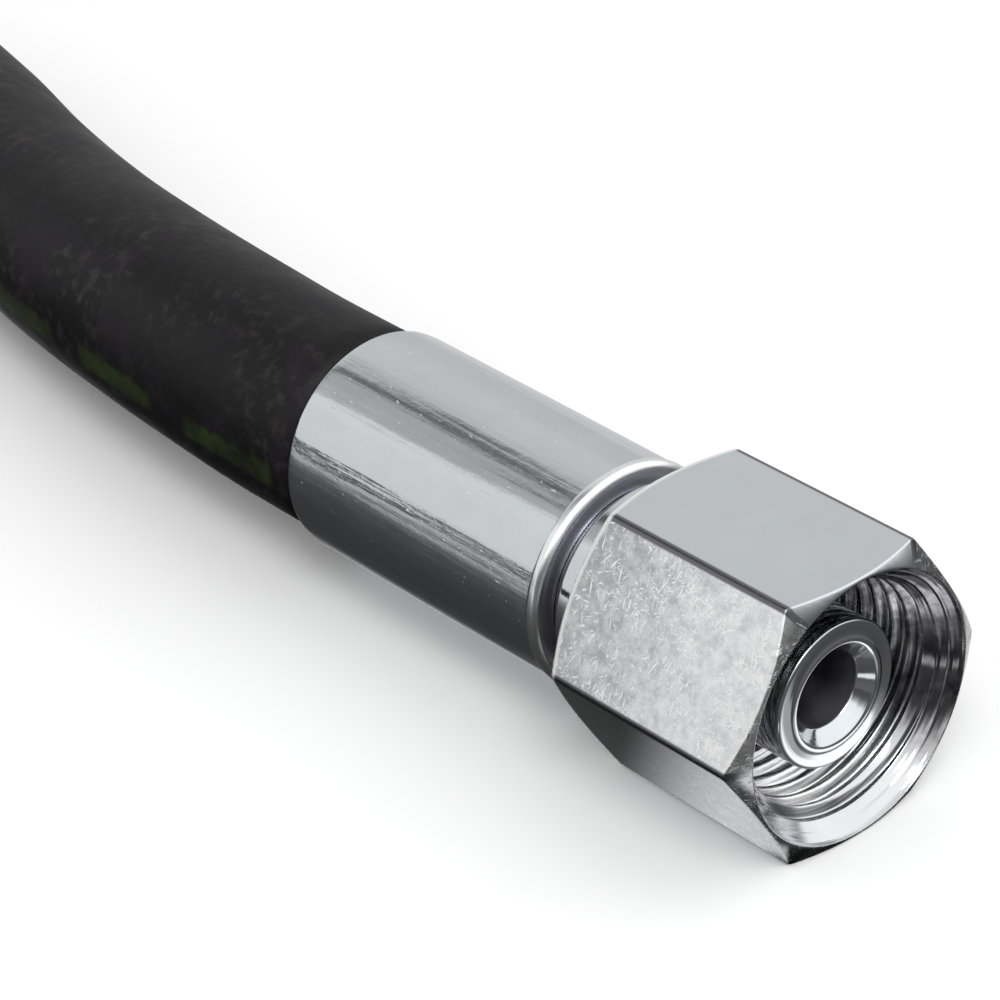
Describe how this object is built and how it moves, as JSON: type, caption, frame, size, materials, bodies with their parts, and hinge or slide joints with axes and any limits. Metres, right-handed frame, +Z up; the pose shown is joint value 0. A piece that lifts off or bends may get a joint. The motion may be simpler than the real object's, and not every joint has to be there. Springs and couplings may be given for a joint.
{
  "type": "low pressure hose with crimped swivel nut fittings",
  "caption": "Short black rubber hose with a bright plated crimped ferrule, nipple and hexagon swivel nut on each end, lying on the floor in one wide bend.",
  "frame": {"origin": "on the floor under the middle of the near fitting, which is the end the picture shows", "axes": "+X along the near fitting's axis, out of its mouth; +Z up from the floor; +Y to the left of the fitting as it points"},
  "size_m": [0.2438, 0.1926, 0.022],
  "materials": {
    "nut_steel": "bright zinc plated steel, scuffed flats",
    "nipple_steel": "bright zinc plated turned steel",
    "ferrule_steel": "bright zinc plated drawn steel, small dents",
    "hose_rubber": "black rubber cover, slightly dusty"
  },
  "bodies": {
    "hose_line": {"hose": "hose_rubber", "hose_end_near": "hose_rubber", "hose_end_far": "hose_rubber", "ferrule_near": "ferrule_steel", "ferrule_far": "ferrule_steel", "nipple_near": "nipple_steel", "nipple_far": "nipple_steel"},
    "swivel_nut_near": {"nut_near": "nut_steel"},
    "swivel_nut_far": {"nut_far": "nut_steel"}
  },
  "joints": [
    {"name": "nut_near_turn", "type": "hinge", "parent": "hose_line", "child": "swivel_nut_near", "pos_m": [0.0167, 0, 0.011], "axis": [1, 0, 0], "continuous": true},
    {"name": "nut_far_turn", "type": "hinge", "parent": "hose_line", "child": "swivel_nut_far", "pos_m": [-0.0521, -0.1572, 0.011], "axis": [1, 0, 0], "continuous": true}
  ]
}
